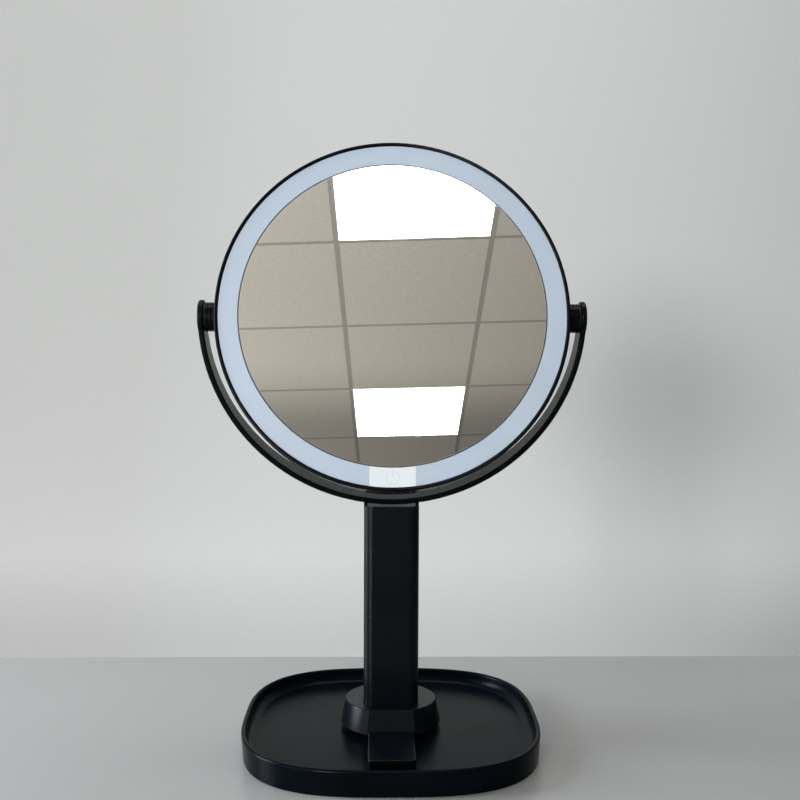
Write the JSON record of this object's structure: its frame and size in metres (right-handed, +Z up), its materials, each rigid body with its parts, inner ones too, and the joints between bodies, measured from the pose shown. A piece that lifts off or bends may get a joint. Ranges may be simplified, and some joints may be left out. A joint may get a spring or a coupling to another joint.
{
  "type": "lighted table mirror",
  "caption": "Round two-sided table mirror with a light ring and a touch plate, turning in a half-ring yoke on a post that stands in an open square-round tray.",
  "frame": {"origin": "centre of the tray's footprint, on the table under the rubber feet", "axes": "+Z up along the post, +X to the right as seen from the front, -Y towards the person using the mirror"},
  "size_m": [0.2194, 0.1718, 0.3468],
  "materials": {
    "base_black": "satin black moulded plastic",
    "cover_black": "fine-textured black moulded plastic",
    "frame_black": "satin to gloss black moulded plastic",
    "inner_grey": "dark grey moulded plastic",
    "inner_white": "white moulded plastic",
    "light_ring": "frosted light-spreading plastic, cool white",
    "touch_white": "smooth white plastic",
    "front_mirror": "silvered flat glass with a small ground edge",
    "rear_mirror": "silvered dished glass",
    "pad_foam": "closed-cell foam sheet with adhesive",
    "light_board": "white-coated circuit board",
    "light_chip": "phosphor-coated light chip",
    "circuit_board": "green solder-masked circuit board",
    "cell_foil": "plain silver pouch foil",
    "socket_steel": "plated steel shell",
    "plain_steel": "zinc-plated sheet steel",
    "screw_steel": "zinc-plated steel",
    "screw_black": "black oxide steel",
    "bush_plastic": "black low-friction plastic",
    "foot_rubber": "matte black rubber"
  },
  "bodies": {
    "stand": {"tray": "base_black", "tray_cover": "cover_black", "ballast_plate": "plain_steel", "cover_screws": "screw_steel", "rubber_feet": "foot_rubber", "collar": "base_black", "front_block": "base_black", "block_screws": "screw_steel", "post": "base_black", "post_plug": "inner_grey", "post_washer": "screw_steel", "post_bolt": "screw_steel", "yoke_saddle": "inner_grey", "yoke": "frame_black", "yoke_screws": "screw_black", "arm_bush_left": "bush_plastic", "arm_bush_right": "bush_plastic", "arm_cap_left": "frame_black", "arm_cap_right": "frame_black"},
    "head": {"front_shell": "frame_black", "rear_shell": "frame_black", "front_glass": "front_mirror", "glass_pad": "pad_foam", "diffuser_ring": "light_ring", "touch_plate": "touch_white", "touch_board": "circuit_board", "carrier_plate": "inner_white", "led_board": "light_board", "led_chips": "light_chip", "shell_screws": "screw_steel", "battery_cell": "cell_foil", "control_board": "circuit_board", "board_screws": "screw_steel", "charge_socket": "socket_steel", "rear_mirror": "rear_mirror", "pivot_boss_left": "frame_black", "pivot_boss_right": "frame_black", "friction_washer_left": "bush_plastic", "friction_washer_right": "bush_plastic", "pivot_screw_left": "screw_steel", "pivot_screw_right": "screw_steel"}
  },
  "joints": [
    {"name": "head_turn", "type": "hinge", "parent": "stand", "child": "head", "pos_m": [0, -0.0145, 0.2475], "axis": [1, 0, 0], "continuous": true}
  ]
}
